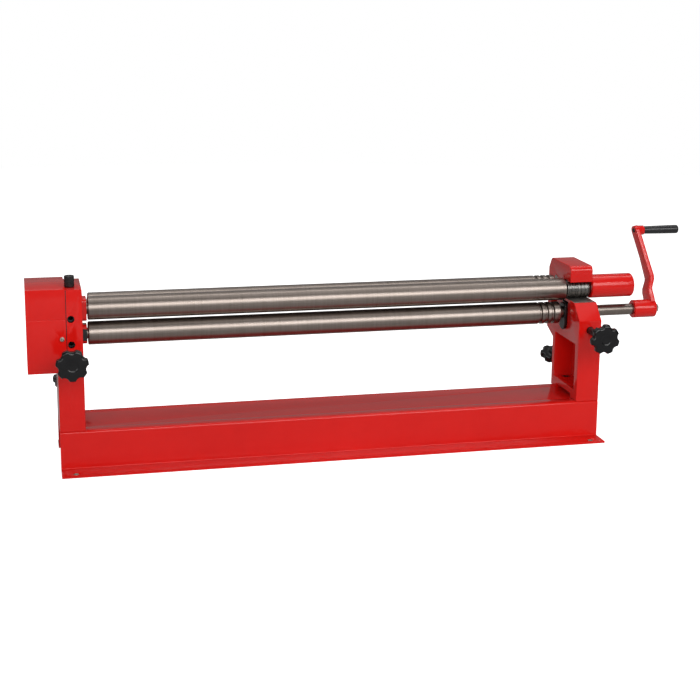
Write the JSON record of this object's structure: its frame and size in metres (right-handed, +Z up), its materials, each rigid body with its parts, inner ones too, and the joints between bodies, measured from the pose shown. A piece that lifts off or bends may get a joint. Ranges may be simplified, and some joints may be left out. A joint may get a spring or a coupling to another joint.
{
  "type": "slip roll machine",
  "caption": "Hand-cranked bench roll bender: geared pinch rolls and an adjustable rear bending roll between two frames, with a swing-out upper roll.",
  "frame": {"origin": "centre of the four base bolt holes, on the plane that the machine stands on", "axes": "+X towards the crank, along the rolls; +Y from the operator to the back; +Z up"},
  "size_m": [1.5352, 0.3397, 0.4665],
  "materials": {
    "red_paint": "glossy red paint",
    "roll_steel": "ground steel",
    "bright_steel": "turned bright steel",
    "dark_steel": "black oxide",
    "zinc_steel": "zinc plated",
    "bronze": "plain bearing bronze",
    "black_knob": "moulded black plastic",
    "black_grip": "satin black plastic"
  },
  "bodies": {
    "frame": {"base_channel": "red_paint", "left_housing": "red_paint", "right_housing": "red_paint", "housing_bolts": "dark_steel", "housing_washers": "dark_steel", "housing_nuts": "zinc_steel", "gear_cover": "red_paint", "cover_screws": "zinc_steel", "keeper_plate_left": "red_paint", "keeper_plate_right": "red_paint", "keeper_screws": "dark_steel", "lock_screws": "dark_steel", "swing_collar": "dark_steel", "swing_bolt": "dark_steel", "upper_gear_bush": "bronze"},
    "swing_end": {"swivel_block": "red_paint", "swivel_bush": "bronze"},
    "upper_roll": {"upper_roll": "roll_steel", "sleeve_clip": "dark_steel"},
    "release": {"release_sleeve": "bright_steel", "release_grip": "red_paint", "grip_set_screw": "dark_steel"},
    "upper_gear": {"upper_gear": "bright_steel", "upper_gear_shaft": "bright_steel", "upper_gear_key": "dark_steel", "upper_gear_clip": "dark_steel"},
    "lower_carrier": {"lower_block_left": "dark_steel", "lower_block_right": "dark_steel", "lower_bush_left": "bronze", "lower_bush_right": "bronze", "lower_collar_right": "dark_steel"},
    "lower_roll": {"lower_roll": "roll_steel", "lower_gear": "bright_steel", "lower_gear_key": "dark_steel", "lower_gear_clip": "dark_steel", "crank_arm": "red_paint", "crank_key": "dark_steel", "crank_bolt": "zinc_steel", "grip_spindle": "dark_steel"},
    "crank_grip": {"crank_grip": "black_grip"},
    "front_wedge_left": {"front_wedge_left": "bright_steel"},
    "front_wedge_right": {"front_wedge_right": "bright_steel"},
    "front_adjuster_left": {"front_screw_left": "dark_steel", "front_knob_left": "black_knob"},
    "front_adjuster_right": {"front_screw_right": "dark_steel", "front_knob_right": "black_knob"},
    "rear_carrier": {"rear_block_left": "bright_steel", "rear_block_right": "bright_steel", "rear_bush_left": "bronze", "rear_bush_right": "bronze"},
    "rear_roll": {"rear_roll": "roll_steel"},
    "rear_adjuster_left": {"rear_screw_left": "bright_steel", "rear_knob_left": "black_knob"},
    "rear_adjuster_right": {"rear_screw_right": "bright_steel", "rear_knob_right": "black_knob"}
  },
  "joints": [
    {"name": "crank_spin", "type": "hinge", "parent": "lower_carrier", "child": "lower_roll", "pos_m": [0, 0.01, 0.279], "axis": [1, 0, 0], "continuous": true},
    {"name": "grip_spin", "type": "hinge", "parent": "lower_roll", "child": "crank_grip", "pos_m": [0.82, 0.0808, 0.45424], "axis": [1, 0, 0], "continuous": true},
    {"name": "upper_gear_spin", "type": "hinge", "parent": "frame", "child": "upper_gear", "pos_m": [-0.6, 0.01, 0.334], "axis": [1, 0, 0], "continuous": true},
    {"name": "upper_roll_swing", "type": "hinge", "parent": "frame", "child": "swing_end", "pos_m": [-0.583, 0.01, 0.334], "axis": [0, 0, 1], "range_deg": [-6.2, 0]},
    {"name": "upper_roll_spin", "type": "hinge", "parent": "swing_end", "child": "upper_roll", "pos_m": [0, 0.01, 0.334], "axis": [1, 0, 0], "continuous": true},
    {"name": "release_turn", "type": "hinge", "parent": "swing_end", "child": "release", "pos_m": [0.6, 0.01, 0.334], "axis": [1, 0, 0], "range_deg": [0, 90]},
    {"name": "front_knob_left_turn", "type": "hinge", "parent": "front_wedge_left", "child": "front_adjuster_left", "pos_m": [-0.583, -0.16, 0.254], "axis": [0, 1, 0], "range_deg": [-1710, 2160]},
    {"name": "front_knob_right_turn", "type": "hinge", "parent": "front_wedge_right", "child": "front_adjuster_right", "pos_m": [0.583, -0.16, 0.254], "axis": [0, 1, 0], "range_deg": [-1710, 2160]},
    {"name": "front_wedge_left_slide", "type": "slide", "parent": "frame", "child": "front_wedge_left", "axis": [0, 1, 0], "range_m": [-0.0083, 0.01045]},
    {"name": "front_wedge_right_slide", "type": "slide", "parent": "frame", "child": "front_wedge_right", "axis": [0, 1, 0], "range_m": [-0.0083, 0.01045]},
    {"name": "lower_roll_lift", "type": "slide", "parent": "frame", "child": "lower_carrier", "axis": [0, 0, 1], "range_m": [-0.003, 0.0038]},
    {"name": "rear_knob_left_turn", "type": "hinge", "parent": "rear_carrier", "child": "rear_adjuster_left", "pos_m": [-0.583, 0.13204, 0.14682], "axis": [0, -0.342, 0.9397], "range_deg": [-10090, 0]},
    {"name": "rear_knob_right_turn", "type": "hinge", "parent": "rear_carrier", "child": "rear_adjuster_right", "pos_m": [0.583, 0.13204, 0.14682], "axis": [0, -0.342, 0.9397], "range_deg": [-10090, 0]},
    {"name": "rear_roll_slide", "type": "slide", "parent": "frame", "child": "rear_carrier", "axis": [0, -0.342, 0.9397], "range_m": [-0.056, 0]},
    {"name": "rear_roll_spin", "type": "hinge", "parent": "rear_carrier", "child": "rear_roll", "pos_m": [0, 0.065, 0.331], "axis": [1, 0, 0], "continuous": true}
  ],
  "couplings": [
    {"joint": "upper_gear_spin", "follows": "crank_spin", "ratio": -1},
    {"joint": "upper_roll_spin", "follows": "crank_spin", "ratio": -1},
    {"joint": "front_knob_left_turn", "follows": "lower_roll_lift", "rad_per_m": 9865.2},
    {"joint": "front_knob_right_turn", "follows": "lower_roll_lift", "rad_per_m": 9865.2},
    {"joint": "front_wedge_left_slide", "follows": "lower_roll_lift", "ratio": 2.7475},
    {"joint": "front_wedge_right_slide", "follows": "lower_roll_lift", "ratio": 2.7475},
    {"joint": "rear_knob_left_turn", "follows": "rear_roll_slide", "rad_per_m": 3141.6},
    {"joint": "rear_knob_right_turn", "follows": "rear_roll_slide", "rad_per_m": 3141.6}
  ]
}
